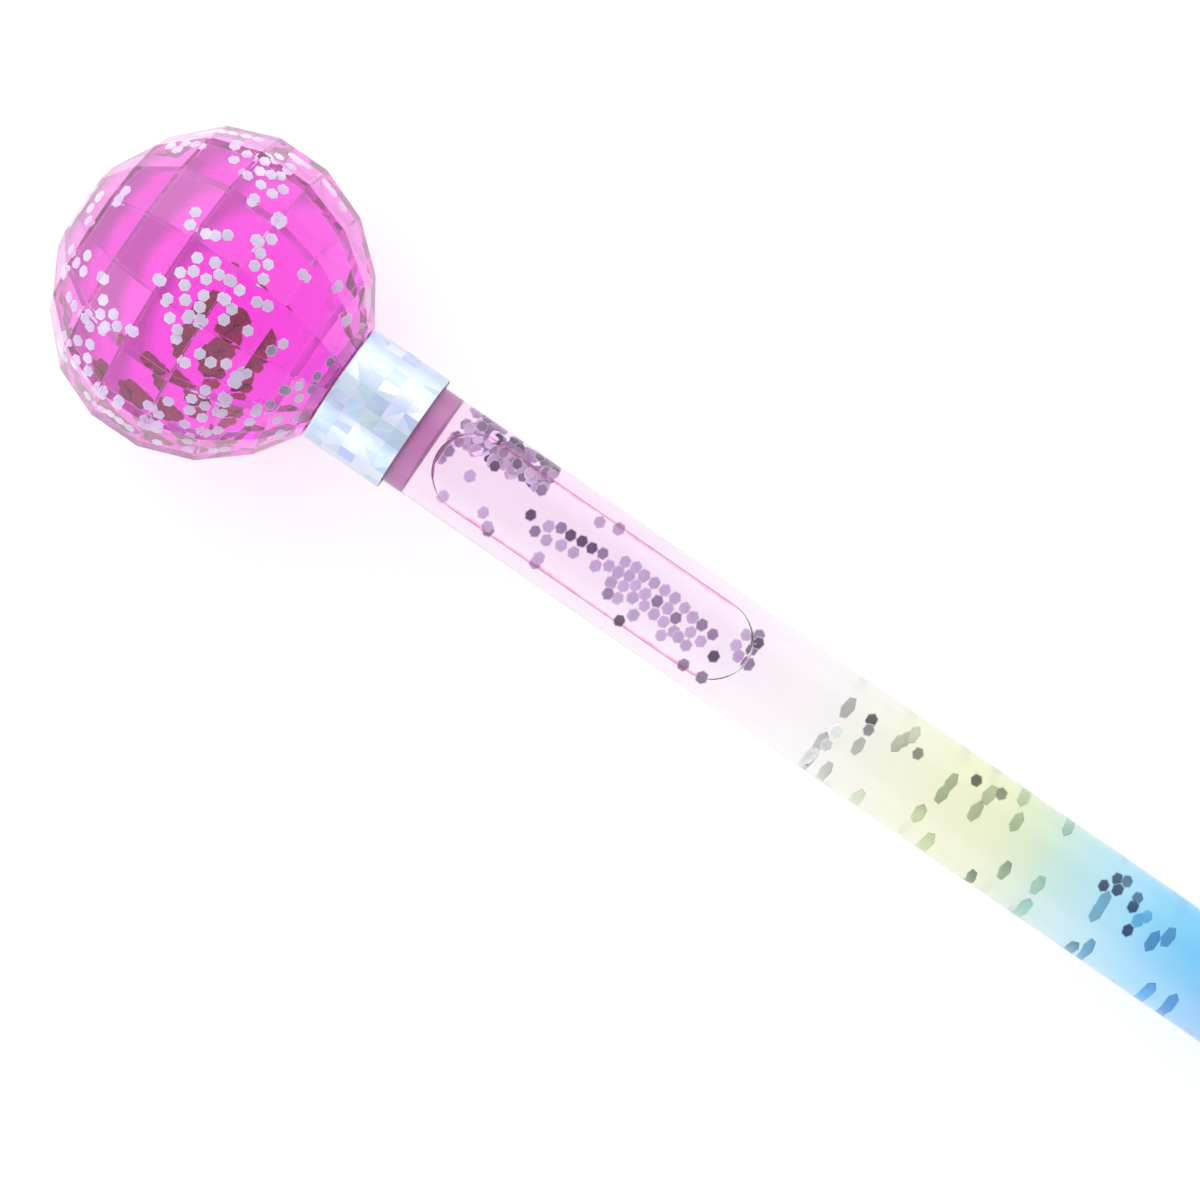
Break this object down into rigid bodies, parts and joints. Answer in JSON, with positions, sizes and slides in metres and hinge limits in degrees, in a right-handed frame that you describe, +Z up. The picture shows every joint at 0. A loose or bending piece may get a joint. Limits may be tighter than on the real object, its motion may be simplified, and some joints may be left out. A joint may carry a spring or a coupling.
{
  "type": "liquid glitter wand",
  "caption": "Clear faceted ball of magenta liquid on a long rainbow-tinted tube of liquid, with a silver holographic collar, hexagonal glitter and a sliding air bubble.",
  "frame": {"origin": "centre of the bottom of the box around the wand as it lies on a table", "axes": "+X runs from the ball to the tail along the table, +Y across it, +Z up; the wand slopes down to its tail by 2.66 degrees"},
  "size_m": [0.303, 0.0442, 0.0445],
  "materials": {
    "ball_plastic": "clear moulded plastic with flat polished facets",
    "ball_liquid": "vivid magenta dyed clear liquid",
    "ball_glitter": "pale blue and lavender metallised film, bright",
    "tube_plastic": "clear tube tinted from pink through clear, yellow and green to blue",
    "tube_liquid": "clear liquid, very faintly pink",
    "tube_glitter": "lavender to grey-green metallised film",
    "plug_plastic": "translucent pink plastic",
    "tail_plug_plastic": "milky white plastic",
    "sleeve_plastic": "white plastic",
    "stopper_rubber": "pale soft rubber",
    "holographic_foil": "silver holographic tape, a mosaic of small prism squares",
    "cap_plastic": "clear moulded plastic, faceted"
  },
  "bodies": {
    "wand": {"ball_front_shell": "ball_plastic", "ball_rear_shell": "ball_plastic", "ball_stopper": "stopper_rubber", "ball_liquid": "ball_liquid", "collar_sleeve": "sleeve_plastic", "collar_foil": "holographic_foil", "tube": "tube_plastic", "head_plug": "plug_plastic", "tube_liquid": "tube_liquid", "tail_plug": "tail_plug_plastic", "tail_foil": "holographic_foil", "tail_cap": "cap_plastic"},
    "ball_glitter": {"ball_flakes_crown_front": "ball_glitter", "ball_flakes_crown_rear": "ball_glitter", "ball_flakes_arc_front": "ball_glitter", "ball_flakes_arc_rear": "ball_glitter", "ball_flakes_far_rim_front": "ball_glitter", "ball_flakes_far_rim": "ball_glitter", "ball_flakes_far_rim_rear": "ball_glitter", "ball_flakes_neck_far": "ball_glitter", "ball_flakes_neck_near": "ball_glitter", "ball_flakes_pole_rim": "ball_glitter", "ball_flakes_near_row": "ball_glitter", "ball_flakes_near_rim_front": "ball_glitter", "ball_flakes_near_rim": "ball_glitter", "ball_flakes_near_rim_rear": "ball_glitter", "ball_flakes_settled_middle": "ball_glitter", "ball_flakes_settled_near": "ball_glitter", "ball_flakes_settled_rear": "ball_glitter"},
    "bubble": {"bubble_flakes_raft_front": "tube_glitter", "bubble_flakes_raft_middle": "tube_glitter", "bubble_flakes_raft_tail": "tube_glitter"},
    "glitter_heap": {"tube_flakes_heap_head": "tube_glitter", "tube_flakes_heap_middle": "tube_glitter", "tube_flakes_heap_tail": "tube_glitter"},
    "glitter_drift": {"tube_flakes_drift_clear_near": "tube_glitter", "tube_flakes_drift_clear_far": "tube_glitter", "tube_flakes_drift_yellow_near": "tube_glitter", "tube_flakes_drift_yellow_far": "tube_glitter", "tube_flakes_drift_green_near": "tube_glitter", "tube_flakes_drift_green_far": "tube_glitter", "tube_flakes_drift_blue_far": "tube_glitter", "tube_flakes_drift_blue_near": "tube_glitter", "tube_flakes_drift_violet_far": "tube_glitter", "tube_flakes_drift_violet_near": "tube_glitter", "tube_flakes_drift_tail": "tube_glitter"}
  },
  "joints": [
    {"name": "ball_swirl", "type": "hinge", "parent": "wand", "child": "ball_glitter", "pos_m": [-0.13152, 0, 0.02227], "axis": [0.9989, 0, -0.0464], "continuous": true, "deforming": ["ball_liquid"]},
    {"name": "bubble_slide", "type": "slide", "parent": "wand", "child": "bubble", "axis": [0.9989, 0, -0.0464], "range_m": [0, 0.174], "deforming": ["tube_liquid"]},
    {"name": "heap_slide", "type": "slide", "parent": "wand", "child": "glitter_heap", "axis": [0.9989, 0, -0.0464], "range_m": [0, 0.209], "deforming": ["tube_liquid"]},
    {"name": "drift_slide", "type": "slide", "parent": "wand", "child": "glitter_drift", "axis": [0.9989, 0, -0.0464], "range_m": [-0.063, 0.031], "deforming": ["tube_liquid"]}
  ]
}
